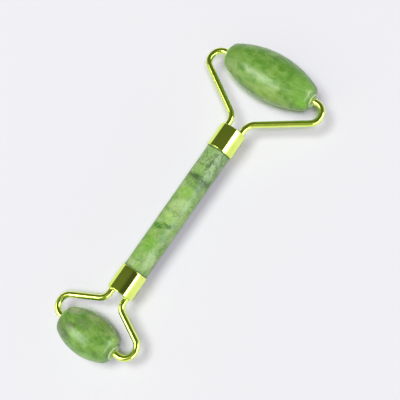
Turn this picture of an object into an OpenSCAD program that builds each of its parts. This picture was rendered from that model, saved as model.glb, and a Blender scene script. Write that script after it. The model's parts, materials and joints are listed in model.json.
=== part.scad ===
// Double-ended jade face roller. A jade handle carries a metal ferrule at each end, and each
// ferrule holds a bent wire fork. A barrel-shaped stone spins on the inward pins of each fork,
// in two flanged plastic bushes. The roller lies on the crowns of its two stones.
// Millimetres. +Y runs along the handle towards the large head, +X along the roller axes, +Z up.

/* [Handle] */
// Diameter of the handle stone
handle_d = 10.2; // [8:0.1:12]
// Length of handle stone that shows between the two ferrules
handle_visible = 58.2; // [50:0.1:80]
// Depth that the handle stone enters each ferrule
handle_insert = 3.5; // [2:0.1:3.6]

/* [Ferrules] */
// Length of each ferrule
ferrule_len = 10.65; // [10.6:0.05:14]
// Wall thickness of the ferrule tube
ferrule_wall = 0.5; // [0.4:0.05:0.8]
// Radial gap between the handle stone and the ferrule bore
ferrule_gap = 0.1; // [0.05:0.01:0.2]
// Thickness of the ferrule's closed end
ferrule_end_wall = 0.7; // [0.5:0.05:1]
// Radius of the rounded edge at the closed end
ferrule_edge_r = 0.4; // [0.2:0.05:0.45]

/* [Wire] */
// Diameter of the fork wire
wire_d = 2.6; // [2.2:0.1:2.6]
// Distance between the two wires where they leave a ferrule, centre to centre
wire_spacing = 7.1; // [6.6:0.1:7.1]
// Straight length of wire between the ferrule's end and the elbow
wire_straight = 1.8; // [1:0.1:4]
// Length of each axle pin inside its stone
pin_depth = 7; // [4:0.5:8]
// Leg size of the solder fillet at each wire root
solder_leg = 0.4; // [0.2:0.05:0.4]

/* [Large fork] */
// Bend radius of the elbow, on the wire's centreline
large_elbow_r = 5.5; // [5:0.1:7]
// Bend radius of the outer corner, on the wire's centreline
large_corner_r = 4.7; // [4:0.1:5.5]
// Angle between the straight arm and the roller axle
large_arm_angle = 32.3; // [30:0.1:33]
// Length of the straight arm
large_arm_len = 22.1; // [21.8:0.1:26]

/* [Small fork] */
// Bend radius of the elbow, on the wire's centreline
small_elbow_r = 4.5; // [4.2:0.1:6]
// Bend radius of the outer corner, on the wire's centreline
small_corner_r = 4.7; // [4:0.1:5.5]
// Angle between the straight arm and the roller axle
small_arm_angle = 27; // [25:0.1:28]
// Length of the straight arm
small_arm_len = 11.8; // [11.6:0.1:16]

/* [Large stone] */
// Largest diameter of the large stone
large_stone_d = 19.9; // [17:0.1:22]
// Length of the large stone between its flat ends
large_stone_len = 40.6; // [36:0.1:40.6]
// Radius of the long curve of the large stone's side
large_side_r = 42.8; // [38:0.2:60]
// Radius of the rounded edge between side and end
large_edge_r = 2.5; // [1.5:0.1:3]
// Sideways play that is taken up at rest, towards -X
large_shift = 0.26; // [0:0.02:0.4]

/* [Small stone] */
// Largest diameter of the small stone
small_stone_d = 17.4; // [15:0.1:19]
// Length of the small stone between its flat ends
small_stone_len = 24.8; // [22:0.1:24.8]
// Radius of the long curve of the small stone's side
small_side_r = 23.2; // [20:0.2:30]
// Radius of the rounded edge between side and end
small_edge_r = 2.8; // [1.5:0.1:3]
// Sideways play that is taken up at rest, towards -X
small_shift = 0.78; // [0:0.02:0.8]

/* [Bushes] */
// Outside diameter of the bush sleeve, which is also the stone's bore
sleeve_d = 4.4; // [4:0.1:5]
// Length of the sleeve inside the stone
sleeve_len = 7.5; // [6:0.5:8]
// Diameter of the flange that lies on the stone's end
flange_d = 6.2; // [5.6:0.1:6.2]
// Thickness of the flange
flange_t = 0.7; // [0.4:0.1:0.7]
// Radial clearance between the wire pin and the bush
running_gap = 0.05; // [0.02:0.01:0.08]

/* [Hidden] */
$fn = 96;

jade = [0.53, 0.69, 0.37];
deep_jade = [0.43, 0.62, 0.28];
gilt = [0.80, 0.86, 0.36];
clear_plastic = [0.86, 0.93, 0.84];
epoxy = [0.85, 0.80, 0.55];

handle_chamfer = 0.4;
ferrule_bore_r = handle_d / 2 + ferrule_gap;
ferrule_r = ferrule_bore_r + ferrule_wall;
mouth_y = handle_visible / 2;
ferrule_end_y = mouth_y + ferrule_len;
plug_start_y = mouth_y + handle_insert;
plug_end_y = ferrule_end_y - ferrule_end_wall;

wire_r = wire_d / 2;
wire_x = wire_spacing / 2;
elbow_y = ferrule_end_y + wire_straight;
// The bend inside the ferrule keeps this far from the handle's end.
bend_margin = 0.35;
bend_y = plug_start_y + bend_margin + wire_x + wire_r;
tip_chamfer = 0.3;
// A straight stretch is thinner than the bends by this much in radius, as drawn wire is beside
// a bend, and it runs this far into them, so that a fork is one solid.
straight_relief = 0.005;
join_len = 0.05;
straight_r = wire_r - straight_relief;

stone_hole_depth = 9;
funnel_depth = 0.45;
funnel_mouth_r = 2.3;

// Each head as one list: elbow radius, corner radius, arm angle, arm length, stone diameter,
// stone length, side radius, edge radius, sideways shift.
large = [large_elbow_r, large_corner_r, large_arm_angle, large_arm_len,
         large_stone_d, large_stone_len, large_side_r, large_edge_r, large_shift];
small = [small_elbow_r, small_corner_r, small_arm_angle, small_arm_len,
         small_stone_d, small_stone_len, small_side_r, small_edge_r, small_shift];
function elbow_r(head) = head[0];
function corner_r(head) = head[1];
function arm_angle(head) = head[2];
function arm_len(head) = head[3];
function stone_r(head) = head[4] / 2;
function stone_half(head) = head[5] / 2;
function side_r(head) = head[6];
function edge_r(head) = head[7];
function shift_x(head) = -head[8];
// Bend centres of the elbow and of the outer corner, and the height of the axle above them.
function elbow(head) = [wire_x + elbow_r(head), elbow_y];
function corner_offset(head) = [arm_len(head), elbow_r(head) + corner_r(head)];
function turned(p, angle) = [p[0] * cos(angle) - p[1] * sin(angle),
                             p[0] * sin(angle) + p[1] * cos(angle)];
function corner(head) = elbow(head) + turned(corner_offset(head), arm_angle(head));
function axle_y(head) = corner(head)[1] + corner_r(head);
function pin_end_x(head) = stone_half(head) - pin_depth;

// Lying on the table, the handle tilts a little because the two stones differ in radius.
axle_gauge = axle_y(large) + axle_y(small);
tilt = asin((stone_r(large) - stone_r(small)) / axle_gauge);
lift = stone_r(large) - axle_y(large) * sin(tilt);
middle_y = ((axle_y(large) - axle_y(small)) * cos(tilt) + stone_r(large) - stone_r(small)) / 2;

// Places a piece drawn with the handle's middle at the origin so that it lies on the table.
module lay() {
    translate([0, -middle_y, lift])
        rotate([tilt, 0, 0])
            children();
}

// Turns a piece drawn for the large end of the handle round to the small end.
module at_small_end() {
    mirror([0, 1, 0])
        children();
}

// A solid of revolution about +Y, from a profile whose X is the radius and Y the height.
module spin_y() {
    rotate([-90, 0, 0])
        mirror([0, 1, 0])
            rotate_extrude()
                children();
}

// A round bar from a point, along a heading in the fork's plane.
module bar(from, heading, length, r) {
    translate([from[0], from[1], 0])
        rotate([0, 0, heading])
            rotate([0, 90, 0])
                cylinder(r = r, h = length);
}

// A straight stretch of wire between two bends.
module straight(from, heading, length) {
    start = [from[0] - join_len * cos(heading), from[1] - join_len * sin(heading)];
    bar(start, heading, length + 2 * join_len, straight_r);
}

// A bent stretch of wire about the origin, from one angle through a sweep.
module bend(radius, start, sweep) {
    rotate([0, 0, start])
        rotate_extrude(angle = sweep)
            translate([radius, 0])
                circle(r = wire_r);
}

// The wire inside the ferrule: two legs joined by a half-circle bend.
module hidden_bend() {
    translate([0, bend_y, 0])
        bend(wire_x, 180, 180);
    for (side = [-1, 1]) {
        straight([side * wire_x, bend_y], 90, elbow_y - bend_y);
    }
}

// The axle pin, from the end of the corner bend inwards, with a chamfered tip.
module pin(head) {
    length = corner(head)[0] - pin_end_x(head) - tip_chamfer;
    bar([join_len, corner_r(head)], 180, length + join_len, straight_r);
    translate([-length, corner_r(head), 0])
        rotate([0, -90, 0])
            cylinder(r1 = straight_r, r2 = straight_r - tip_chamfer, h = tip_chamfer);
}

// One arm of a fork: elbow, straight arm, outer corner and pin, each placed from the last.
module arm(head) {
    translate(elbow(head))
        rotate([0, 0, arm_angle(head)]) {
            bend(elbow_r(head), 90, 90 - arm_angle(head));
            straight([0, elbow_r(head)], 0, arm_len(head));
            translate(corner_offset(head)) {
                bend(corner_r(head), -90, 180 - arm_angle(head));
                rotate([0, 0, -arm_angle(head)])
                    pin(head);
            }
        }
}

module fork(head) {
    color(gilt) {
        hidden_bend();
        arm(head);
        mirror([1, 0, 0])
            arm(head);
    }
}

// A thin cup with a rounded mouth, a rounded closed end and two holes for the wires.
module ferrule() {
    lip_r = ferrule_wall / 2;
    color(gilt)
        difference() {
            spin_y() {
                // rounded mouth
                translate([ferrule_bore_r + lip_r, mouth_y + lip_r])
                    intersection() {
                        circle(r = lip_r);
                        translate([-lip_r, -lip_r])
                            square([2 * lip_r, lip_r]);
                    }
                // tube
                translate([ferrule_bore_r, mouth_y + lip_r])
                    square([ferrule_wall, ferrule_len - lip_r - ferrule_edge_r]);
                // closed end
                translate([0, plug_end_y])
                    square([ferrule_bore_r, ferrule_end_wall]);
                translate([ferrule_bore_r, ferrule_end_y - ferrule_edge_r])
                    square([ferrule_wall - ferrule_edge_r, ferrule_edge_r]);
                // rounded edge
                translate([ferrule_r - ferrule_edge_r, ferrule_end_y - ferrule_edge_r])
                    intersection() {
                        circle(r = ferrule_edge_r);
                        square(ferrule_edge_r);
                    }
            }
            for (side = [-1, 1]) {
                bar([side * wire_x, plug_end_y - 1], 90, ferrule_end_wall + 2, wire_r);
            }
        }
}

// Concave solder rings round the two wires, on the ferrule's end.
module solder() {
    color(gilt)
        for (side = [-1, 1]) {
            translate([side * wire_x, ferrule_end_y, 0])
                spin_y()
                    difference() {
                        translate([wire_r, 0])
                            square(solder_leg);
                        translate([wire_r + solder_leg, solder_leg])
                            circle(r = solder_leg);
                    }
        }
}

// Cured epoxy that fills the ferrule between the handle's end and the closed end.
module glue_plug() {
    color(epoxy)
        difference() {
            bar([0, plug_start_y], 90, plug_end_y - plug_start_y, ferrule_bore_r);
            hidden_bend();
        }
}

module handle() {
    half = mouth_y + handle_insert;
    color(jade) {
        bar([0, handle_chamfer - half], 90, 2 * (half - handle_chamfer), handle_d / 2);
        for (side = [-1, 1]) {
            translate([0, side * (half - handle_chamfer), 0])
                rotate([-90 * side, 0, 0])
                    cylinder(r1 = handle_d / 2, r2 = handle_d / 2 - handle_chamfer, h = handle_chamfer);
        }
    }
}

// Half outline of a barrel, X along the radius and Y along the length: a long side curve that
// meets a rounded edge, then a flat end.
module barrel_half(head) {
    centre = stone_r(head) - side_r(head);
    edge_y = stone_half(head) - edge_r(head);
    edge_x = centre + sqrt(pow(side_r(head) - edge_r(head), 2) - pow(edge_y, 2));
    turn = asin(edge_y / (side_r(head) - edge_r(head)));
    touch = [centre + side_r(head) * cos(turn), side_r(head) * sin(turn)];
    // under the side curve
    intersection() {
        translate([centre, 0])
            circle(r = side_r(head));
        polygon([[0, 0], [2 * stone_r(head), 0], [touch[0] + edge_r(head) * cos(turn),
                 touch[1] + edge_r(head) * sin(turn)], [edge_x, edge_y], [0, edge_y]]);
    }
    // under the rounded edge
    translate([edge_x, edge_y])
        intersection() {
            circle(r = edge_r(head));
            polygon([[0, 0], 2 * edge_r(head) * [cos(turn), sin(turn)],
                     [2 * edge_r(head), 2 * edge_r(head)], [0, 2 * edge_r(head)]]);
        }
    // under the flat end
    translate([0, edge_y])
        square([edge_x, edge_r(head)]);
}

// Puts a piece drawn with its own axis on +Y onto a head's axle.
module on_axle(head) {
    translate([shift_x(head), axle_y(head), 0])
        rotate([0, 0, -90])
            children();
}

module stone(head) {
    color(deep_jade)
        on_axle(head)
            difference() {
                spin_y() {
                    barrel_half(head);
                    mirror([0, 1])
                        barrel_half(head);
                }
                for (side = [-1, 1]) {
                    translate([0, side * stone_half(head), 0])
                        bar([0, -stone_hole_depth], 90, 2 * stone_hole_depth, sleeve_d / 2);
                }
            }
}

// A flanged sleeve pressed into one end of a stone, with a funnel at its mouth.
module bush(head, side) {
    end = stone_half(head);
    bore_r = wire_r + running_gap;
    outer = end + flange_t;
    color(clear_plastic)
        on_axle(head)
            scale([1, side, 1])
                spin_y()
                    polygon([
                        [bore_r, end - sleeve_len], [sleeve_d / 2, end - sleeve_len],
                        [sleeve_d / 2, end], [flange_d / 2, end],
                        [flange_d / 2, outer], [funnel_mouth_r, outer],
                        [bore_r, outer - funnel_depth],
                    ]);
}

module handle_stone() { lay() handle(); }
module large_ferrule() { lay() ferrule(); }
module small_ferrule() { lay() at_small_end() ferrule(); }
module large_fork() { lay() fork(large); }
module small_fork() { lay() at_small_end() fork(small); }
module large_solder() { lay() solder(); }
module small_solder() { lay() at_small_end() solder(); }
module large_glue_plug() { lay() glue_plug(); }
module small_glue_plug() { lay() at_small_end() glue_plug(); }
module large_stone() { lay() stone(large); }
module large_bush_left() { lay() bush(large, -1); }
module large_bush_right() { lay() bush(large, 1); }
module small_stone() { lay() at_small_end() stone(small); }
module small_bush_left() { lay() at_small_end() bush(small, -1); }
module small_bush_right() { lay() at_small_end() bush(small, 1); }

handle_stone();
large_ferrule();
small_ferrule();
large_fork();
small_fork();
large_solder();
small_solder();
large_glue_plug();
small_glue_plug();
large_stone();
large_bush_left();
large_bush_right();
small_stone();
small_bush_left();
small_bush_right();
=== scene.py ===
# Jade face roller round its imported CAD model: a stone handle, two metal ferrules, two bent wire
# forks, and two barrel-shaped stones that turn on the forks' pins in flanged plastic bushes.
import json
import math

import bmesh
import bpy
from mathutils import Matrix, Vector


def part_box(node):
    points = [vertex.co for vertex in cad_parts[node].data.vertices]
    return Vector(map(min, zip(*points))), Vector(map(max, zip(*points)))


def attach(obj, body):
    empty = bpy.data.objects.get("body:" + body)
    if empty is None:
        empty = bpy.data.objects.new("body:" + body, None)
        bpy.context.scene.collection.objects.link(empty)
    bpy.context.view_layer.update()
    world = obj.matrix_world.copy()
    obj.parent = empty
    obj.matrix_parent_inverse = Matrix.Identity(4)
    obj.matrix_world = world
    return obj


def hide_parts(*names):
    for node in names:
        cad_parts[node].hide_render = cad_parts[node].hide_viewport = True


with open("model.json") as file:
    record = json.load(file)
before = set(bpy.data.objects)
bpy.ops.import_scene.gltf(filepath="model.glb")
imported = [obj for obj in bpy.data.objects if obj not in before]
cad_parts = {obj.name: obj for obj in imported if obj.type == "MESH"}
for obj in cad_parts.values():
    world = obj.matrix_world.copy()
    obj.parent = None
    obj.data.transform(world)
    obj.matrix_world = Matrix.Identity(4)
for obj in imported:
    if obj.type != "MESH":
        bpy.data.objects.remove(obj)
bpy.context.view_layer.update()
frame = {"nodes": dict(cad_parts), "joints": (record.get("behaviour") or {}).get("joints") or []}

# ---------------------------------------------------------------- sizes, in millimetres
MM = 0.001

# Handle stone. A wave, here and at the stones, is how deep the grinding goes.
HANDLE_INSERT = 3.5
HANDLE_CHAMFER = 0.4
HANDLE_WAVE = 0.03

# Ferrules. Extra rings at SUPPORT from a rounded edge keep the faces beside it flat to the eye.
FERRULE_WALL = 0.5
FERRULE_END_WALL = 0.7
FERRULE_EDGE_R = 0.4
SUPPORT = 0.08

# Wire: its distance from the middle line, the straight run outside a ferrule, the room between
# the handle and the bend inside, and the pins that its two ends are.
WIRE_R = 1.3
WIRE_X = 3.55
WIRE_STRAIGHT = 1.8
BEND_MARGIN = 0.35
PIN_DEPTH = 7.0
PIN_CHAMFER = 0.3

# The wire's holes in a ferrule, and how far their cutter reaches to each side of its end.
HOLE_GAP = 0.02
CUTTER_INWARD = 2
CUTTER_OUTWARD = 1

# Solder fillets. One of them, at the small fork, is larger than the others.
SOLDER_LEG = 0.4
SOLDER_ROOT = 0.03
LARGER_FILLET = 1.5

# Bushes, and the stones' ends that they sit in.
SLEEVE_R = 2.2
SLEEVE_LEN = 7.5
FLANGE_R = 3.1
FLANGE_T = 0.7
FUNNEL_R = 2.3
FUNNEL_DEPTH = 0.45
BUSH_BORE_R = 1.35
BUSH_EDGE_R = 0.15
SEAT_GAP = 0.01
STONE_HOLE_DEPTH = 9.0
STONE_CHAMFER = 0.25
STONE_WAVE = 0.05

# What differs between the two heads. The turn makes the handle's +Y point to that head.
HEADS = {
    "large": dict(elbow_r=5.5, corner_r=4.7, arm_angle=32.3, arm_len=22.1,
                  side_r=42.8, edge_r=2.5, turn=Matrix.Identity(4)),
    "small": dict(elbow_r=4.5, corner_r=4.7, arm_angle=27.0, arm_len=11.8,
                  side_r=23.2, edge_r=2.8, turn=Matrix.Rotation(math.pi, 4, "Z")),
}

# How fine the meshes are: segments round each kind of piece, steps along the wire in millimetres
# and round its bends in degrees, and the angle from which an edge stays crisp.
ROUND = 192
RING_ROUND = 96
HOLE_ROUND = 64
WIRE_ROUND = 48
WIRE_STEP = 0.6
BEND_STEP = 3
SHARP_ANGLE = math.radians(35)

# ---------------------------------------------------------------- places, from the frame
JOINT_AT = {joint["name"]: Vector(joint["pos_m"]) for joint in frame["joints"]}


def middle(node):
    """The middle of a node's box, in metres."""
    low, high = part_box(node)
    return (low + high) / 2


def extent(node):
    """A node's size along X, Y and Z in millimetres."""
    low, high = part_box(node)
    return (high - low) / MM


def handle_place():
    """The handle's own frame: origin at its middle, +Y towards the large head."""
    run = JOINT_AT["large_roll"] - JOINT_AT["small_roll"]
    tilt = math.atan2(run.z, run.y)
    return Matrix.Translation(middle("handle_stone")) @ Matrix.Rotation(tilt, 4, "X")


HANDLE = handle_place()


def half_length(node, radius):
    """Half the length of a round bar that lies along the tilted handle."""
    tilt = HANDLE.to_euler().x
    return (extent(node).y / 2 - radius * math.sin(tilt)) / math.cos(tilt)


# Distances along the handle are from its middle.
HANDLE_R = extent("handle_stone").x / 2
HANDLE_HALF = half_length("handle_stone", HANDLE_R)
MOUTH_Y = HANDLE_HALF - HANDLE_INSERT
FERRULE_R = extent("large_ferrule").x / 2
FERRULE_LEN = 2 * half_length("large_ferrule", FERRULE_R)
FERRULE_END = MOUTH_Y + FERRULE_LEN
ELBOW_Y = FERRULE_END + WIRE_STRAIGHT
BEND_Y = HANDLE_HALF + BEND_MARGIN + WIRE_X + WIRE_R


def head_place(head):
    """The handle's frame, turned so that +Y points to that head."""
    return HANDLE @ HEADS[head]["turn"]


def stone_place(head):
    """A stone's own frame: origin at its middle on the axle, +X along the axle."""
    axle = JOINT_AT[head + "_roll"]
    return Matrix.Translation((middle(head + "_stone").x, axle.y, axle.z))


# ---------------------------------------------------------------- mesh helpers
def arc(centre, radius, start, end, steps):
    """Points of an arc between two angles in degrees, as (radius, along) pairs."""
    points = []
    for k in range(steps + 1):
        angle = math.radians(start + (end - start) * k / steps)
        points.append((centre[0] + radius * math.cos(angle), centre[1] + radius * math.sin(angle)))
    return points


def line(start, end, step):
    """Points from start up to, and without, end, no further apart than step."""
    count = max(1, math.ceil(math.dist(start, end) / step))
    return [(start[0] + (end[0] - start[0]) * k / count, start[1] + (end[1] - start[1]) * k / count)
            for k in range(count)]


def bridge(bm, ring, following):
    """Faces between two rings of one size, or between a ring and a single point."""
    count = max(len(ring), len(following))
    for k in range(count):
        corners = [ring[k % len(ring)], ring[(k + 1) % len(ring)],
                   following[(k + 1) % len(following)], following[k % len(following)]]
        bm.faces.new(list(dict.fromkeys(corners)))


def lathe(outline, segments, shape=None):
    """A closed solid of revolution about Y from (radius, along) points. It closes on the axis if
    its outline starts there, and otherwise joins its last point to its first. A shape function
    may move each point, by its turn round the axis."""
    bm = bmesh.new()
    rings = []
    for radius, along in outline:
        if radius == 0:
            rings.append([bm.verts.new((0, along, 0))])
            continue
        ring = []
        for k in range(segments):
            turn = math.tau * k / segments
            r, y = shape(radius, along, turn) if shape else (radius, along)
            ring.append(bm.verts.new((r * math.sin(turn), y, r * math.cos(turn))))
        rings.append(ring)
    for ring, following in zip(rings, rings[1:]):
        bridge(bm, ring, following)
    if outline[0][0] != 0:
        bridge(bm, rings[-1], rings[0])
    return bm


def ground_down(radius, depth, wave):
    """A radius less what hand grinding takes off: from 0 to depth, as two added sines vary."""
    return radius - depth * (1 - wave / 2) / 2


def lay_along_x(bm, side=1):
    """Turns a lathed solid, so that what was its +Y end points to +X, or to -X if side is -1."""
    turn = Matrix.Rotation(-side * math.pi / 2, 3, "Z")
    bmesh.ops.rotate(bm, verts=bm.verts, cent=(0, 0, 0), matrix=turn)


class Wire:
    """A pen that draws a bent wire's centreline in the fork's plane, as (x, y, heading)."""

    def __init__(self, x, y, heading):
        self.x, self.y, self.heading = x, y, heading
        self.points = [(x, y, heading)]

    def run(self, length):
        """Goes straight ahead."""
        count = max(1, math.ceil(length / WIRE_STEP))
        for _ in range(count):
            self.x += length / count * math.cos(math.radians(self.heading))
            self.y += length / count * math.sin(math.radians(self.heading))
            self.points.append((self.x, self.y, self.heading))

    def bend(self, radius, angle):
        """Turns left by angle degrees, or right if it is negative."""
        count = math.ceil(abs(angle) / BEND_STEP)
        side = math.copysign(90, angle)
        to_centre = math.radians(self.heading + side)
        centre_x = self.x + radius * math.cos(to_centre)
        centre_y = self.y + radius * math.sin(to_centre)
        for _ in range(count):
            self.heading += angle / count
            outwards = math.radians(self.heading - side)
            self.x = centre_x + radius * math.cos(outwards)
            self.y = centre_y + radius * math.sin(outwards)
            self.points.append((self.x, self.y, self.heading))


def sweep(path):
    """A round wire along (x, y, heading, radius) points, closed at both ends."""
    bm = bmesh.new()
    rings = []
    for x, y, heading, radius in path:
        across = math.radians(heading + 90)
        ring = []
        for k in range(WIRE_ROUND):
            turn = math.tau * k / WIRE_ROUND
            out = radius * math.cos(turn)
            ring.append(bm.verts.new((x + out * math.cos(across), y + out * math.sin(across),
                                      radius * math.sin(turn))))
        rings.append(ring)
    for ring, following in zip(rings, rings[1:]):
        bridge(bm, ring, following)
    bm.faces.new(rings[0])
    bm.faces.new(rings[-1])
    return bm


def shade(mesh):
    """Smooth shading with crisp edges."""
    mesh.shade_smooth()
    mesh.set_sharp_from_angle(angle=SHARP_ANGLE)


def to_mesh(bm, name):
    """The finished mesh in metres."""
    bmesh.ops.recalc_face_normals(bm, faces=bm.faces)
    mesh = bpy.data.meshes.new(name)
    bm.to_mesh(mesh)
    bm.free()
    mesh.transform(Matrix.Scale(MM, 4))
    shade(mesh)
    return mesh


def add_object(name, data):
    added = bpy.data.objects.new(name, data)
    bpy.context.scene.collection.objects.link(added)
    return added


def paint(mesh, material):
    """Gives a mesh that one material."""
    mesh.materials.clear()
    mesh.materials.append(material)


def add_piece(name, mesh, place, body, node, material):
    """Adds a piece that rides a body and takes the place of a CAD node."""
    paint(mesh, material)
    piece = add_object(name, mesh)
    piece.matrix_world = place
    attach(piece, body)
    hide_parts(node)


# ---------------------------------------------------------------- shader helpers
def put(socket, value):
    """Links a socket to another node's output, or sets its value."""
    if isinstance(value, bpy.types.NodeSocket):
        socket.id_data.links.new(value, socket)
    else:
        socket.default_value = value


def feed(node, inputs):
    """Puts a value or a link into each input."""
    for key, value in inputs.items():
        put(node.inputs[key], value)


def add_node(tree, kind, inputs, **settings):
    node = tree.nodes.new("ShaderNode" + kind)
    for key, value in settings.items():
        setattr(node, key, value)
    feed(node, inputs)
    return node


def calculate(tree, operation, *values):
    return add_node(tree, "Math", dict(enumerate(values)), operation=operation).outputs[0]


def times(tree, first, second):
    return calculate(tree, "MULTIPLY", first, second)


def combine(tree, operation, vector, other):
    """Two vectors added, subtracted or divided, or a vector scaled by a number."""
    key = "Scale" if operation == "SCALE" else 1
    return add_node(tree, "VectorMath", {0: vector, key: other}, operation=operation).outputs[0]


def millimetres(tree, offset=(0, 0, 0), stretch=(1, 1, 1)):
    """Object coordinates in millimetres, stretched and then moved by offset."""
    place = add_node(tree, "TexCoord", {}).outputs["Object"]
    scaled = combine(tree, "SCALE", place, 1 / MM)
    mapped = add_node(tree, "Mapping", {"Vector": scaled, "Location": offset, "Scale": stretch})
    return mapped.outputs[0]


def noise(tree, place, size, detail=4, roughness=0.5):
    """Noise whose blotches are about size millimetres across."""
    made = add_node(tree, "TexNoise", {"Vector": place, "Scale": 1 / size, "Detail": detail,
                                       "Roughness": roughness})
    return made.outputs["Fac"]


def swirl(tree, place, size, amount):
    """Coordinates pushed about by coarse noise, for cloudy, folded patterns."""
    push = add_node(tree, "TexNoise", {"Vector": place, "Scale": 1 / size, "Detail": 2})
    centred = combine(tree, "SUBTRACT", push.outputs["Color"], (0.5, 0.5, 0.5))
    return combine(tree, "ADD", place, combine(tree, "SCALE", centred, amount))


def folded_noise(tree, offset, stretch, fold, grain):
    """Noise in moved, stretched and swirled coordinates. The fold is the swirl's size and amount,
    and the grain is the noise's size, detail and roughness."""
    place = swirl(tree, millimetres(tree, offset, stretch), *fold)
    return noise(tree, place, *grain)


def remap(tree, value, low, high, to_low=0.0, to_high=1.0):
    """A smooth step from to_low, where the value is low, to to_high, where it is high."""
    made = add_node(tree, "MapRange", {"Value": value, "From Min": low, "From Max": high,
                                       "To Min": to_low, "To Max": to_high},
                    interpolation_type="SMOOTHSTEP")
    return made.outputs[0]


def mix(tree, factor, first, second):
    made = add_node(tree, "Mix", {0: factor, 6: first, 7: second}, data_type="RGBA")
    return made.outputs[2]


def bump(tree, height, depth, strength):
    """A bumped normal, its depth in millimetres."""
    made = add_node(tree, "Bump", {"Height": height, "Distance": depth * MM,
                                   "Strength": strength})
    return made.outputs[0]


def linear(red, green, blue):
    """An sRGB colour from 0 to 255 as a linear RGBA value."""
    def channel(value):
        value /= 255
        return value / 12.92 if value <= 0.04045 else ((value + 0.055) / 1.055) ** 2.4
    return (channel(red), channel(green), channel(blue), 1.0)


def lay_over(tree, colour, mask, amount, tone):
    """The colour with an sRGB tone laid over it as strongly as amount, where the mask shows."""
    return mix(tree, times(tree, mask, amount), colour, linear(*tone))


def new_material(name):
    """A new material, its node tree and its Principled shader."""
    material = bpy.data.materials.new(name)
    material.use_nodes = True
    tree = material.node_tree
    return material, tree, tree.nodes["Principled BSDF"]


# ---------------------------------------------------------------- patterns and marks of the jade
HANDLE_CLOUDS = dict(offset=(0, 0, 0), stretch=(1, 1, 1), fold=(9.0, 9.0), grain=(4.5, 5, 0.5))
HANDLE_VEIL = dict(offset=(31, 4, 7), stretch=(1.3, 0.8, 1.3), fold=(6.0, 7.0),
                   grain=(4.0, 4, 0.5))
HANDLE_WISPS = dict(offset=(3, 12, 8), stretch=(1.1, 0.9, 1.1), fold=(4.0, 6.5),
                    grain=(1.3, 6, 0.66))
HANDLE_FLECKS = dict(offset=(23, 5, 2), stretch=(1.1, 0.9, 1.1), fold=(4.0, 7.0),
                     grain=(1.2, 6, 0.68))
HANDLE_THREADS = dict(offset=(7, 3, 19), stretch=(1.0, 0.8, 1.0), fold=(5.0, 6.0),
                      grain=(2.6, 3, 0.5))

# A roller stone's clouds and pale flecks have an offset of their own for each stone.
ROLLER_CLOUDS = dict(stretch=(1, 1, 1), fold=(7.0, 7.0), grain=(4.0, 5, 0.5))
ROLLER_PALE_FLECKS = dict(stretch=(0.5, 1.3, 1.3), fold=(3.0, 2.2), grain=(1.6, 6, 0.64))
ROLLER_DARK_FLECKS = dict(offset=(19, 5, 11), stretch=(0.5, 1.3, 1.3), fold=(3.0, 2.2),
                          grain=(1.5, 6, 0.64))
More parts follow.
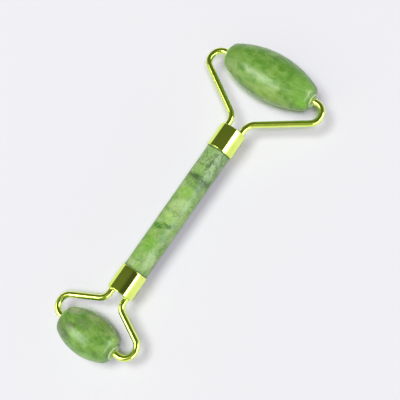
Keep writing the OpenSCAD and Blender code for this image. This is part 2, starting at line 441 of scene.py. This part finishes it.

# The marks of each stone: the centre and the reach in millimetres in the stone's own frame, the
# sRGB tone, and how strongly it covers what is under it. Marks noted as such are painted
# highlights.
HANDLE_MARKS_AND_HIGHLIGHTS = (
    ((0.4, 23.0, 4.0), (9.0, 9.0, 9.0), (150, 184, 126), 0.75),
    ((2.6, 24.5, 4.4), (2.6, 4.5, 4.0), (138, 168, 114), 0.85),
    ((-0.8, 25.0, 5.0), (2.0, 3.0, 3.0), (128, 176, 80), 0.7),
    ((1.9, 22.0, 4.7), (1.0, 4.5, 2.0), (60, 96, 44), 0.85),
    ((4.9, 21.5, 1.6), (1.2, 4.5, 2.5), (96, 130, 84), 0.45),
    ((-0.4, 19.3, 5.0), (2.2, 2.6, 3.0), (136, 180, 84), 0.8),
    ((0.2, 23.4, 5.0), (1.6, 2.0, 2.0), (150, 186, 110), 0.6),
    # painted highlight: part of a faint sheen line along the handle's +X side
    ((3.7, 26.0, 3.4), (2.0, 2.5, 2.5), (160, 186, 138), 0.5),
    ((0.5, 15.1, 4.8), (6.5, 1.8, 6.5), (64, 96, 42), 0.9),
    ((2.6, 13.4, 4.2), (4.6, 1.0, 5.0), (84, 118, 62), 0.7),
    ((1.2, 14.9, 4.9), (3.6, 1.5, 3.4), (56, 88, 40), 0.75),
    ((-2.0, 22.0, 4.6), (1.8, 2.4, 2.4), (152, 178, 118), 0.5),
    ((4.7, 14.8, 2.2), (2.0, 2.2, 2.6), (60, 96, 48), 0.85),
    ((3.6, 11.6, 3.6), (2.6, 2.0, 3.0), (116, 150, 108), 0.8),
    ((0.8, 8.0, 5.0), (4.4, 3.8, 4.0), (132, 184, 64), 0.9),
    ((-0.2, 11.4, 5.1), (2.4, 1.6, 2.6), (98, 140, 70), 0.6),
    ((2.8, 3.2, 4.2), (3.8, 3.2, 3.5), (164, 202, 132), 0.85),
    ((0.0, 1.2, 5.0), (4.6, 3.8, 4.0), (178, 208, 140), 0.75),
    # painted highlight: part of a faint sheen line along the handle's +X side
    ((4.0, 8.7, 3.1), (2.0, 3.0, 2.5), (160, 190, 134), 0.5),
    ((2.4, -1.0, 4.4), (2.4, 2.0, 3.0), (142, 176, 84), 0.6),
    ((0.8, -5.0, 5.0), (4.0, 2.6, 3.5), (154, 198, 104), 0.8),
    ((0.0, -3.2, 5.0), (3.4, 1.8, 3.0), (180, 216, 128), 0.6),
    ((-2.5, 10.0, 4.4), (2.2, 2.2, 2.6), (172, 198, 140), 0.6),
    # painted highlight: part of a faint sheen line along the handle's +X side
    ((4.2, 18.0, 3.2), (2.0, 3.0, 2.6), (168, 198, 156), 0.5),
    ((-2.0, -6.9, 4.7), (2.5, 1.6, 2.5), (168, 200, 134), 0.6),
    ((-1.4, -9.2, 4.8), (4.4, 1.4, 4.0), (62, 126, 4), 1.0),
    ((1.9, -7.6, 4.8), (3.0, 1.2, 2.8), (66, 124, 12), 1.0),
    ((3.0, -12.5, 4.2), (3.2, 3.6, 3.4), (118, 164, 88), 0.85),
    ((-0.8, -12.4, 5.0), (2.2, 2.0, 2.4), (146, 182, 88), 0.7),
    ((1.0, -11.2, 5.0), (2.4, 1.6, 2.6), (108, 154, 68), 0.6),
    ((-0.4, -16.8, 5.0), (4.4, 3.8, 4.0), (116, 178, 44), 0.9),
    ((1.8, -16.4, 4.8), (2.2, 2.5, 2.6), (110, 168, 50), 0.6),
    ((-1.6, -22.0, 4.8), (3.0, 4.0, 3.0), (138, 188, 80), 0.8),
    ((1.0, -19.6, 4.9), (2.0, 2.0, 2.4), (110, 176, 48), 0.6),
    # painted highlight: a pale streak along the handle's +X side
    ((4.4, -22.6, 2.6), (1.8, 4.4, 2.2), (190, 220, 156), 0.75),
    ((-2.2, -27.0, 4.6), (3.0, 2.6, 3.0), (174, 200, 138), 0.75),
    # painted highlight: a pale band along the handle's +X side
    ((2.8, -22.2, 4.0), (2.4, 5.0, 4.0), (164, 202, 126), 0.75),
)

LARGE_STONE_MARKS_AND_HIGHLIGHTS = (
    ((-15.0, -1.5, 7.0), (7.0, 5.0, 5.0), (122, 160, 78), 0.6),
    ((-15.2, -5.6, 5.4), (5.0, 3.6, 4.5), (146, 176, 104), 0.75),
    ((-4.0, 2.2, 9.5), (4.0, 2.5, 3.0), (124, 166, 84), 0.6),
    ((7.0, 5.0, 7.0), (9.0, 4.0, 5.0), (98, 150, 58), 0.6),
    ((9.5, 2.0, 8.5), (2.0, 2.6, 3.0), (76, 142, 37), 0.5),
    ((4.0, -1.0, 9.5), (3.0, 1.5, 2.0), (114, 158, 53), 0.6),
    ((12.0, -3.5, 6.0), (2.0, 1.8, 3.0), (96, 134, 63), 0.6),
    # painted highlight: part of the pale streak on the stone's upper -Y side
    ((0.3, -4.1, 9.0), (4.5, 1.8, 2.5), (150, 186, 112), 0.5),
    # painted highlight: part of the pale streak on the stone's upper -Y side
    ((7.4, -5.2, 7.7), (3.2, 1.4, 2.5), (160, 192, 124), 0.6),
    ((0.0, 5.0, 8.6), (3.0, 2.4, 3.0), (72, 124, 40), 0.5),
    # painted highlight: part of the pale streak on the stone's upper -Y side
    ((11.0, -3.4, 7.7), (2.6, 1.6, 2.5), (142, 186, 102), 0.5),
    # painted highlight: part of the pale streak on the stone's upper -Y side
    ((-5.6, -4.3, 8.5), (3.5, 1.8, 2.5), (154, 180, 116), 0.5),
    ((17.0, 0.0, 6.0), (8.0, 9.0, 8.0), (120, 176, 69), 0.6),
    ((12.8, -8.0, 1.8), (2.8, 2.2, 2.8), (168, 204, 110), 0.65),
    ((5.6, -9.4, 1.8), (3.0, 2.0, 2.8), (172, 200, 130), 0.6),
    ((20.0, -4.5, 2.2), (1.8, 2.2, 2.6), (166, 226, 90), 0.75),
    ((5.0, -7.2, 6.2), (4.2, 2.0, 3.2), (170, 196, 128), 0.6),
    ((8.2, -1.0, 9.2), (3.4, 1.8, 2.4), (86, 142, 46), 0.6),
    ((1.5, 6.4, 7.5), (2.4, 2.0, 2.6), (80, 116, 50), 0.5),
    ((-10.6, -6.8, 5.2), (4.2, 2.4, 3.2), (152, 186, 108), 0.6),
    ((14.2, 4.5, 6.0), (1.8, 1.8, 2.0), (86, 160, 35), 0.6),
    ((18.6, -4.6, 3.0), (4.0, 3.4, 4.5), (122, 188, 56), 0.85),
    ((-12.0, -7.5, 3.2), (3.4, 2.2, 2.8), (134, 172, 70), 0.6),
    ((4.4, -8.6, 4.4), (14.0, 3.8, 5.0), (154, 188, 98), 0.7),
    # painted highlight at the stone's +X end
    ((19.7, 0.3, 4.9), (2.5, 3.2, 3.2), (158, 202, 110), 0.6),
)

SMALL_STONE_MARKS = (
    ((-9.4, -3.0, 5.8), (4.6, 4.5, 4.4), (104, 134, 72), 0.85),
    ((-6.2, -5.2, 6.0), (4.2, 3.2, 4.0), (92, 116, 78), 0.9),
    ((-5.6, -4.4, 6.5), (1.8, 1.4, 2.4), (56, 78, 34), 0.85),
    ((-1.8, 3.0, 8.0), (5.6, 3.2, 4.0), (120, 152, 92), 0.7),
    ((-8.2, 5.4, 5.0), (4.2, 3.2, 3.6), (160, 172, 128), 0.85),
    ((1.2, 7.0, 5.0), (7.0, 2.8, 3.6), (156, 182, 112), 0.8),
    ((-5.2, -0.8, 7.9), (3.4, 2.6, 3.0), (86, 110, 54), 0.75),
    ((6.0, 5.8, 5.2), (5.0, 2.8, 3.2), (128, 166, 78), 0.75),
    ((9.5, 5.8, 3.4), (2.0, 1.8, 2.4), (166, 196, 104), 0.7),
    ((8.5, -4.3, 5.6), (1.4, 1.6, 2.5), (82, 120, 61), 0.7),
    ((6.6, -4.0, 6.6), (1.0, 1.0, 2.0), (84, 132, 37), 0.6),
    ((5.4, -7.2, 3.4), (5.5, 2.4, 2.6), (136, 190, 89), 0.7),
    ((11.9, 3.9, 3.3), (3.0, 4.0, 5.0), (168, 214, 112), 0.9),
)


# ---------------------------------------------------------------- materials
# The two tones that each of these varies between, in linear light.
GILT_TONES = ((0.80, 0.97, 0.19, 1), (0.88, 1.0, 0.25, 1))
SOLDER_TONES = ((0.68, 0.92, 0.12, 1), (0.86, 1.0, 0.24, 1))
PAPER_TONES = ((0.767, 0.794, 0.85, 1), (0.786, 0.813, 0.869, 1))

# How deep light sinks in, in metres as the shader takes it, and the refraction.
STONE_LIGHT_DEPTH = 1.1 * MM
STONE_IOR = 1.55
PLASTIC_LIGHT_DEPTH = 0.8 * MM
PLASTIC_IOR = 1.49


def set_stone(shader):
    """What is the same all over a jade stone: light that sinks in and a stone's refraction."""
    feed(shader, {"Subsurface Weight": 0.2, "Subsurface Radius": (0.7, 1.0, 0.45),
                  "Subsurface Scale": STONE_LIGHT_DEPTH, "IOR": STONE_IOR})


def polish(tree, shader, place, roughness, depth):
    """The hand-polished surface of a stone: uneven gloss and faint ripples of that depth."""
    patches = noise(tree, place, 3.0, detail=5)
    gloss = remap(tree, patches, 0.3, 0.7, roughness - 0.05, roughness + 0.08)
    ripples = noise(tree, place, 2.2, detail=6, roughness=0.55)
    feed(shader, {"Roughness": gloss, "Normal": bump(tree, ripples, depth, 0.5)})


def spot(tree, place, centre, reach):
    """1 about a place on the piece, falling to 0 at reach millimetres from it along each axis."""
    offset = combine(tree, "SUBTRACT", place, centre)
    share = combine(tree, "DIVIDE", offset, reach)
    distance = add_node(tree, "VectorMath", {0: share}, operation="LENGTH").outputs["Value"]
    return remap(tree, distance, 1.0, 0.3)


def marked(tree, place, colour, marks):
    """The colour with soft, ragged marks laid over it in turn, painted highlights among them."""
    ragged = swirl(tree, swirl(tree, place, 3.0, 2.6), 0.9, 0.9)
    for centre, reach, tone, amount in marks:
        colour = lay_over(tree, colour, spot(tree, ragged, centre, reach), amount, tone)
    return colour


def dark_veins(tree, colour, along):
    """Dark flecks and thin threads, more of them towards the handle's large head."""
    flecks = remap(tree, folded_noise(tree, **HANDLE_FLECKS), 0.5, 0.66)
    fleck_amount = remap(tree, along, 10.0, 15.0, 0.5, 0.6)
    colour = lay_over(tree, colour, flecks, fleck_amount, (72, 108, 50))
    level = calculate(tree, "SUBTRACT", folded_noise(tree, **HANDLE_THREADS), 0.5)
    threads = remap(tree, calculate(tree, "ABSOLUTE", level), 0.01, 0.04, 1.0, 0.0)
    thread_amount = remap(tree, along, 9.0, 15.0, 0.1, 0.6)
    return lay_over(tree, colour, threads, thread_amount, (64, 100, 46))


def handle_jade():
    """Pale cloudy jade with lime and grey-green veils, fine wisps and a few dark marks, with a
    painted highlight in pale marks along its +X side. Painted shade darkens it where it goes into
    the ferrules."""
    material, tree, shader = new_material("handle_jade")
    place = millimetres(tree)
    along = add_node(tree, "SeparateXYZ", {0: place}).outputs["Y"]
    clouds = remap(tree, folded_noise(tree, **HANDLE_CLOUDS), 0.38, 0.62)
    colour = mix(tree, clouds, linear(112, 164, 60), linear(152, 190, 104))
    veil = remap(tree, folded_noise(tree, **HANDLE_VEIL), 0.5, 0.64)
    colour = lay_over(tree, colour, veil, 0.7, (124, 154, 102))
    colour = marked(tree, place, colour, HANDLE_MARKS_AND_HIGHLIGHTS)
    wisps = remap(tree, folded_noise(tree, **HANDLE_WISPS), 0.5, 0.66)
    colour = lay_over(tree, colour, wisps, 0.5, (176, 206, 150))
    colour = dark_veins(tree, colour, along)
    # Painted shade: a dark band on the handle just outside each ferrule's mouth, where the lip
    # shades it.
    from_middle = calculate(tree, "ABSOLUTE", along)
    painted_mouth_shade = remap(tree, from_middle, MOUTH_Y - 0.8, MOUTH_Y - 0.1)
    colour = lay_over(tree, colour, painted_mouth_shade, 0.75, (48, 72, 30))
    feed(shader, {"Base Color": colour})
    set_stone(shader)
    polish(tree, shader, place, roughness=0.52, depth=0.03)
    return material


def roller_jade(head, marks, offset):
    """Fresh green jade, mottled in fine pale and dark flecks."""
    material, tree, shader = new_material(head + "_roller_jade")
    place = millimetres(tree)
    clouds = remap(tree, folded_noise(tree, offset, **ROLLER_CLOUDS), 0.36, 0.64)
    colour = mix(tree, clouds, linear(92, 144, 46), linear(128, 172, 82))
    colour = marked(tree, place, colour, marks)
    pale = remap(tree, folded_noise(tree, offset, **ROLLER_PALE_FLECKS), 0.5, 0.68)
    colour = lay_over(tree, colour, pale, 0.45, (150, 186, 110))
    dark = remap(tree, folded_noise(tree, **ROLLER_DARK_FLECKS), 0.51, 0.68)
    colour = lay_over(tree, colour, dark, 0.5, (66, 114, 30))
    feed(shader, {"Base Color": colour})
    set_stone(shader)
    polish(tree, shader, place, roughness=0.27, depth=0.02)
    return material


def gilt_metal(name, roughness):
    """Bright plating of a lime-gold tint, with a faint orange peel and fine rubbed marks."""
    material, tree, shader = new_material(name)
    place = millimetres(tree)
    tint = remap(tree, noise(tree, place, 5.0, detail=3), 0.35, 0.65)
    worn = noise(tree, place, 1.5, detail=6, roughness=0.6)
    gloss = remap(tree, worn, 0.35, 0.7, roughness, roughness + 0.05)
    peel = noise(tree, place, 0.8, detail=3)
    feed(shader, {"Base Color": mix(tree, tint, *GILT_TONES), "Metallic": 1.0,
                  "Roughness": gloss, "Normal": bump(tree, peel, 0.002, 0.25)})
    return material


def solder_metal():
    """The same plating over solder: softer and a little uneven."""
    material, tree, shader = new_material("solder")
    place = millimetres(tree)
    tint = noise(tree, place, 0.8)
    lumps = noise(tree, place, 0.35)
    feed(shader, {"Base Color": mix(tree, tint, *SOLDER_TONES), "Metallic": 1.0,
                  "Roughness": remap(tree, tint, 0.3, 0.7, 0.12, 0.26),
                  "Normal": bump(tree, lumps, 0.02, 0.5)})
    return material


def bush_plastic():
    """Milky plastic that light sinks into, with faint moulding clouds."""
    material, tree, shader = new_material("bush_plastic")
    place = millimetres(tree)
    clouds = noise(tree, place, 1.2)
    grain = noise(tree, place, 0.5, detail=3)
    feed(shader, {"Base Color": mix(tree, clouds, linear(160, 192, 124), linear(196, 218, 166)),
                  "Roughness": remap(tree, clouds, 0.3, 0.7, 0.18, 0.3),
                  "Normal": bump(tree, grain, 0.004, 0.4), "IOR": PLASTIC_IOR,
                  "Subsurface Weight": 0.5, "Subsurface Radius": (1.0, 1.0, 0.9),
                  "Subsurface Scale": PLASTIC_LIGHT_DEPTH})
    return material


def cured_epoxy():
    """Glossy amber epoxy with streaks from mixing."""
    material, tree, shader = new_material("epoxy")
    streaks = noise(tree, swirl(tree, millimetres(tree), 2.0, 3.0), 1.5, detail=5)
    feed(shader, {"Base Color": mix(tree, streaks, linear(176, 150, 92), linear(216, 198, 140)),
                  "Roughness": remap(tree, streaks, 0.3, 0.7, 0.1, 0.25),
                  "Normal": bump(tree, streaks, 0.02, 0.4)})
    return material


def floor_paper():
    """Pale paper with a faint tooth."""
    material, tree, shader = new_material("floor_paper")
    tooth = noise(tree, millimetres(tree), 0.6, detail=5)
    feed(shader, {"Base Color": mix(tree, tooth, *PAPER_TONES),
                  "Roughness": remap(tree, tooth, 0.3, 0.7, 0.75, 0.9),
                  "Normal": bump(tree, tooth, 0.01, 0.1), "Specular IOR Level": 0.2})
    return material


# ---------------------------------------------------------------- pieces
def handle_rod(material):
    """The round handle stone, ground by hand, with chamfered ends inside the ferrules."""
    flat_r = HANDLE_R - HANDLE_CHAMFER
    side_y = HANDLE_HALF - HANDLE_CHAMFER
    outline = [(0, -HANDLE_HALF), (flat_r, -HANDLE_HALF)]
    outline += line((HANDLE_R, -side_y), (HANDLE_R, side_y), step=0.8)
    outline += [(HANDLE_R, side_y), (flat_r, HANDLE_HALF), (0, HANDLE_HALF)]

    def ground(radius, along, turn):
        wave = math.sin(0.21 * along + 2 * turn) + math.sin(0.37 * along - turn + 1.3)
        return ground_down(radius, HANDLE_WAVE, wave), along

    mesh = to_mesh(lathe(outline, ROUND, ground), "handle_rod")
    add_piece("handle_rod", mesh, HANDLE, "frame", "handle_stone", material)


def ferrule_outline():
    """The cup's outline from the middle of its closed end, out, along and back inside."""
    lip_r = FERRULE_WALL / 2
    bore_r = FERRULE_R - FERRULE_WALL
    edge = (FERRULE_R - FERRULE_EDGE_R, FERRULE_END - FERRULE_EDGE_R)
    lip = (bore_r + lip_r, MOUTH_Y + lip_r)
    inside = FERRULE_END - FERRULE_END_WALL
    outline = [(0, FERRULE_END), (edge[0] - SUPPORT, FERRULE_END)]
    outline += arc(edge, FERRULE_EDGE_R, 90, 0, steps=8)
    outline += line((FERRULE_R, edge[1] - SUPPORT), (FERRULE_R, lip[1] + SUPPORT), step=1.0)
    outline += [(FERRULE_R, lip[1] + SUPPORT)]
    outline += arc(lip, lip_r, 0, -180, steps=12)
    outline += [(bore_r, lip[1] + SUPPORT), (bore_r, inside), (0, inside)]
    return outline


def drill(piece_mesh, cutter_meshes):
    """The mesh less the cutters."""
    body = add_object("drilled", piece_mesh)
    cutters = [add_object("cutter", mesh) for mesh in cutter_meshes]
    for cutter in cutters:
        cut = body.modifiers.new("cut", "BOOLEAN")
        cut.operation = "DIFFERENCE"
        cut.solver = "EXACT"
        cut.object = cutter
    graph = bpy.context.evaluated_depsgraph_get()
    result = bpy.data.meshes.new_from_object(body.evaluated_get(graph))
    for spent in [body] + cutters:
        bpy.data.objects.remove(spent)
    return result


def ferrule(head, material):
    """A thin plated cup with a rolled lip, a rounded end and two holes for the wire."""
    name = head + "_ferrule_cup"
    hole_r = WIRE_R + HOLE_GAP
    low, high = FERRULE_END - CUTTER_INWARD, FERRULE_END + CUTTER_OUTWARD
    cutters = []
    for side in (-1, 1):
        bar = lathe([(0, low), (hole_r, low), (hole_r, high), (0, high)], HOLE_ROUND)
        bmesh.ops.translate(bar, verts=bar.verts, vec=(side * WIRE_X, 0, 0))
        cutters.append(to_mesh(bar, "cutter"))
    mesh = drill(to_mesh(lathe(ferrule_outline(), ROUND), name), cutters)
    mesh.name = name
    shade(mesh)
    add_piece(name, mesh, head_place(head), "frame", head + "_ferrule", material)


def fork_path(head):
    """The wire of a fork from its left pin's tip to its right pin's tip."""
    size = HEADS[head]
    half_stone = extent(head + "_stone").x / 2
    pen = Wire(0, BEND_Y - WIRE_X, 0)
    pen.bend(WIRE_X, 90)
    pen.run(ELBOW_Y - BEND_Y)
    pen.bend(size["elbow_r"], size["arm_angle"] - 90)
    pen.run(size["arm_len"])
    pen.bend(size["corner_r"], 180 - size["arm_angle"])
    pen.run(pen.x - (half_stone - PIN_DEPTH) - PIN_CHAMFER)
    half = [(x, y, heading, WIRE_R) for x, y, heading in pen.points]
    tip_x, tip_y, heading, _ = half[-1]
    half.append((tip_x - PIN_CHAMFER, tip_y, heading, WIRE_R - PIN_CHAMFER))
    mirrored = [(-x, y, -heading, radius) for x, y, heading, radius in reversed(half[1:])]
    return mirrored + half


def fork(head, material):
    """One wire, bent in a U inside the ferrule, out through two arms and in to the axle pins."""
    name = head + "_fork_wire"
    mesh = to_mesh(sweep(fork_path(head)), name)
    add_piece(name, mesh, head_place(head), "frame", head + "_fork", material)


def solder_ring(leg):
    """A concave fillet round a wire, a little uneven, that bites into wire and ferrule."""
    outline = arc((WIRE_R + leg, leg), leg, 180, 270, steps=10)
    outline += [(WIRE_R + leg, -SOLDER_ROOT), (WIRE_R - SOLDER_ROOT, -SOLDER_ROOT),
                (WIRE_R - SOLDER_ROOT, leg)]

    def uneven(radius, along, turn):
        swell = 1 + 0.12 * math.sin(turn + 0.7) + 0.08 * math.sin(3 * turn)
        return (WIRE_R + (radius - WIRE_R) * swell if radius > WIRE_R else radius,
                along * swell if along > 0 else along)

    return lathe(outline, RING_ROUND, uneven)


def solder(head, legs, material):
    """The two fillets where the wire leaves a ferrule."""
    name = head + "_wire_solder"
    both = bmesh.new()
    for side, leg in zip((-1, 1), legs):
        ring = solder_ring(leg)
        bmesh.ops.translate(ring, verts=ring.verts, vec=(side * WIRE_X, FERRULE_END, 0))
        part = bpy.data.meshes.new("part")
        ring.to_mesh(part)
        ring.free()
        both.from_mesh(part)
        bpy.data.meshes.remove(part)
    mesh = to_mesh(both, name)
    add_piece(name, mesh, head_place(head), "frame", head + "_solder", material)


def stone_outline(head):
    """A drilled barrel's outline, from the bottom of one blind hole round to the other."""
    size = HEADS[head]
    spread = extent(head + "_stone")
    largest_r = spread.z / 2
    half = spread.x / 2
    side_r, edge_r = size["side_r"], size["edge_r"]
    centre = largest_r - side_r
    edge_y = half - edge_r
    edge_x = centre + math.sqrt((side_r - edge_r) ** 2 - edge_y ** 2)
    turn = math.degrees(math.asin(edge_y / (side_r - edge_r)))
    bottom = half - STONE_HOLE_DEPTH
    chamfer_r = SLEEVE_R + STONE_CHAMFER
    upper = [(0, bottom), (SLEEVE_R, bottom), (SLEEVE_R, half - STONE_CHAMFER), (chamfer_r, half)]
    upper += [(edge_x - SUPPORT, half)]
    upper += arc((edge_x, edge_y), edge_r, 90, turn, steps=16)
    upper += arc((centre, 0), side_r, turn, 0, steps=60)[1:-1]
    lower = [(radius, -along) for radius, along in reversed(upper)]
    return upper + [(largest_r, 0)] + lower


def stone(head, material):
    """A barrel-shaped stone, ground and polished by hand, so a little out of round."""
    name = head + "_jade_barrel"
    full_r = extent(head + "_stone").z / 2

    def ground(radius, along, turn):
        share = max(0.0, (radius - FLANGE_R) / (full_r - FLANGE_R))
        wave = math.sin(2 * turn + 0.15 * along) + math.sin(3 * turn - 0.3 * along + 2)
        return ground_down(radius, STONE_WAVE * share, wave), along

    bm = lathe(stone_outline(head), ROUND, ground)
    lay_along_x(bm)
    add_piece(name, to_mesh(bm, name), stone_place(head), head + "_roller", head + "_stone",
              material)


def bush(head, side, material):
    """A flanged sleeve in one end of a stone, with a funnel that leads the pin in."""
    word = "right" if side > 0 else "left"
    name = head + "_" + word + "_bush_sleeve"
    half = extent(head + "_stone").x / 2
    outer = half + FLANGE_T
    inner = half - SLEEVE_LEN
    sleeve_r = SLEEVE_R - SEAT_GAP
    back = half + SEAT_GAP
    rim = (FLANGE_R - BUSH_EDGE_R, outer - BUSH_EDGE_R)
    outline = [(BUSH_BORE_R, inner), (sleeve_r, inner), (sleeve_r, back), (FLANGE_R, back)]
    outline += arc(rim, BUSH_EDGE_R, 0, 90, steps=6)
    outline += [(FUNNEL_R, outer), (BUSH_BORE_R, outer - FUNNEL_DEPTH)]
    bm = lathe(outline, RING_ROUND)
    lay_along_x(bm, side)
    add_piece(name, to_mesh(bm, name), stone_place(head), head + "_roller",
              head + "_bush_" + word, material)


def build_roller():
    cup_metal = gilt_metal("cup_metal", roughness=0.06)
    wire_metal = gilt_metal("wire_metal", roughness=0.13)
    fillet, plastic, epoxy = solder_metal(), bush_plastic(), cured_epoxy()
    jade = {"large": roller_jade("large", LARGE_STONE_MARKS_AND_HIGHLIGHTS, (0, 0, 0)),
            "small": roller_jade("small", SMALL_STONE_MARKS, (40, 7, 13))}
    handle_rod(handle_jade())
    for head in HEADS:
        ferrule(head, cup_metal)
        fork(head, wire_metal)
        stone(head, jade[head])
        for side in (-1, 1):
            bush(head, side, plastic)
        paint(frame["nodes"][head + "_glue_plug"].data, epoxy)
    solder("large", (SOLDER_LEG, SOLDER_LEG), fillet)
    solder("small", (LARGER_FILLET * SOLDER_LEG, SOLDER_LEG), fillet)


# ---------------------------------------------------------------- stage, light and camera
# Lengths are in metres here, and angles in degrees.
FLOOR_HALF = 3.0
FLOOR_CELLS = 8

# The key is a wide disk and the fill a soft sun, and neither shows in reflections. A place is two
# angles from the vertical, towards +X and towards +Y, and a distance.
KEY_PLACE = (-8, -7, 3.6)
KEY_WIDTH = 1.98
KEY_RADIANCE = 6.4
KEY_COLOUR = (0.98, 1.0, 0.90)
FILL_PLACE = (20.6, -6.1, 1.0)
FILL_STRENGTH = 1.40
FILL_ANGLE = 12.0
FILL_COLOUR = (0.86, 0.66, 1.0)

# Four panels show only in reflections. Two are level, side by side along Y, and make a ceiling:
# name, y, depth and radiance.
CEILING_PANELS = (("near_panel", -0.605, 0.70, 5.0), ("far_panel", -1.28, 0.65, 2.2))
CEILING_X = -0.49
CEILING_Z = 0.72
CEILING_WIDTH = 0.92
CEILING_COLOUR = (1, 1, 1)

# The other two are low beside the roller, one by each head: name, y, angle from the vertical and
# height.
SIDE_PANELS = (("large_side_panel", 0.26, 57.0, 0.31), ("small_side_panel", -0.14, 63.0, 0.18))
SIDE_DISTANCE = 0.5
SIDE_WIDTH = 0.40
SIDE_RADIANCE = 5.0
SIDE_COLOUR = (0.74, 0.77, 1.0)

# The world round them, in linear light: what the camera sees past the floor, the horizon, the
# dark above it, and what that dark becomes towards the front and straight to the right.
BACKDROP_TONE = (0.90, 0.89, 0.93, 1)
HORIZON_TONE = (0.93, 1.06, 0.8, 1)
DARK_TONE = (0.113, 0.13, 0.055, 1)
FRONT_TONE = (0.31, 0.335, 0.165, 1)
RIGHT_TONE = (0.06, 0.065, 0.04, 1)

# The camera's place and aim are in the handle's own frame. Its lens and sensor are in millimetres.
CAMERA_DISTANCE = 0.400
CAMERA_AZIMUTH = 74.06
CAMERA_ELEVATION = 68.65
CAMERA_ROLL = 34.91
CAMERA_LENS = 90.5
CAMERA_SENSOR = 36
CAMERA_AIM = Vector((5.24, 8.63, 0)) * MM


def make_floor():
    bm = bmesh.new()
    bmesh.ops.create_grid(bm, x_segments=FLOOR_CELLS, y_segments=FLOOR_CELLS, size=FLOOR_HALF)
    mesh = bpy.data.meshes.new("floor")
    bm.to_mesh(mesh)
    bm.free()
    paint(mesh, floor_paper())
    add_object("floor", mesh)


def from_vertical(across, along, distance):
    """A point at angles in degrees from the vertical, across towards +X and along towards +Y."""
    direction = Vector((math.tan(math.radians(across)), math.tan(math.radians(along)), 1))
    return direction.normalized() * distance


def add_light(name, kind, place, colour, energy, rays):
    """A light that points at the roller and shows only in diffuse or only in glossy rays."""
    data = bpy.data.lights.new(name, kind)
    data.color = colour
    data.energy = energy
    if rays == "glossy":
        data.cycles.max_bounces = 0
    light = add_object(name, data)
    light.location = place
    light.rotation_euler = (-place).to_track_quat("-Z", "Y").to_euler()
    light.visible_diffuse = rays == "diffuse"
    light.visible_glossy = rays == "glossy"
    light.visible_camera = False
    return light


def add_panel(name, place, width, height, radiance, colour, rays):
    """A flat, rectangular soft light of an even radiance, whatever its size."""
    light = add_light(name, "AREA", place, colour, radiance * math.pi * width * height, rays)
    light.data.shape = "RECTANGLE"
    light.data.size = width
    light.data.size_y = height
    return light


def make_lights():
    """The key, with the power of the square round its disk, the fill and the four panels."""
    key = add_panel("key", from_vertical(*KEY_PLACE), KEY_WIDTH, KEY_WIDTH, KEY_RADIANCE,
                    KEY_COLOUR, "diffuse")
    key.data.shape = "DISK"
    fill = add_light("fill", "SUN", from_vertical(*FILL_PLACE), FILL_COLOUR, FILL_STRENGTH,
                     "diffuse")
    fill.data.angle = math.radians(FILL_ANGLE)
    for name, y, across, height in SIDE_PANELS:
        panel = add_panel(name, from_vertical(across, 0, SIDE_DISTANCE), SIDE_WIDTH, height,
                          SIDE_RADIANCE, SIDE_COLOUR, "glossy")
        panel.location.y = y
    for name, y, depth, radiance in CEILING_PANELS:
        panel = add_panel(name, Vector((CEILING_X, y, CEILING_Z)), CEILING_WIDTH, depth, radiance,
                          CEILING_COLOUR, "glossy")
        panel.rotation_euler = (0, 0, 0)


def dark_above(tree, towards):
    """Dark olive, lighter towards the front and darkest straight to the right."""
    front = remap(tree, towards["Y"], 0.04, -0.16)
    tone = mix(tree, front, DARK_TONE, FRONT_TONE)
    right = remap(tree, towards["X"], -0.1, 0.45)
    straight = remap(tree, calculate(tree, "ABSOLUTE", towards["Y"]), 0.13, 0.04)
    return mix(tree, times(tree, right, straight), tone, RIGHT_TONE)


def make_world():
    """Dark over a pale horizon, so that round metal shows crisp dark and light bands. The dark
    starts a little higher to the right, and the camera itself sees a plain pale backdrop."""
    world = bpy.data.worlds.new("studio")
    bpy.context.scene.world = world
    world.use_nodes = True
    tree = world.node_tree
    direction = add_node(tree, "TexCoord", {}).outputs["Generated"]
    towards = add_node(tree, "SeparateXYZ", {0: direction}).outputs
    lift = remap(tree, towards["X"], 0.1, 0.9, 0.0, 0.2)
    height = calculate(tree, "SUBTRACT", towards["Z"], lift)
    above = remap(tree, height, 0.02, 0.18)
    studio = mix(tree, above, HORIZON_TONE, dark_above(tree, towards))
    seen = add_node(tree, "LightPath", {}).outputs["Is Camera Ray"]
    feed(tree.nodes["Background"], {"Color": mix(tree, seen, studio, BACKDROP_TONE)})


def make_camera():
    """A camera that looks at its aim and is rolled about its line of sight."""
    data = bpy.data.cameras.new("camera")
    data.lens = CAMERA_LENS
    data.sensor_width = CAMERA_SENSOR
    camera = add_object("camera", data)
    azimuth, elevation = math.radians(CAMERA_AZIMUTH), math.radians(CAMERA_ELEVATION)
    level = math.cos(elevation)
    place = CAMERA_DISTANCE * Vector((level * math.sin(azimuth), -level * math.cos(azimuth),
                                      math.sin(elevation)))
    back = (place - CAMERA_AIM).normalized()
    side = Vector((0, 1, 0)).cross(back).normalized()
    top = back.cross(side)
    roll = math.radians(CAMERA_ROLL)
    right = math.cos(roll) * side + math.sin(roll) * top
    up = back.cross(right)
    turned = Matrix((right, up, back)).transposed().to_4x4()
    camera.matrix_world = HANDLE @ Matrix.Translation(place) @ turned
    bpy.context.scene.camera = camera


make_camera()
make_floor()
make_world()
make_lights()
build_roller()
bpy.context.scene.view_settings.view_transform = "Standard"
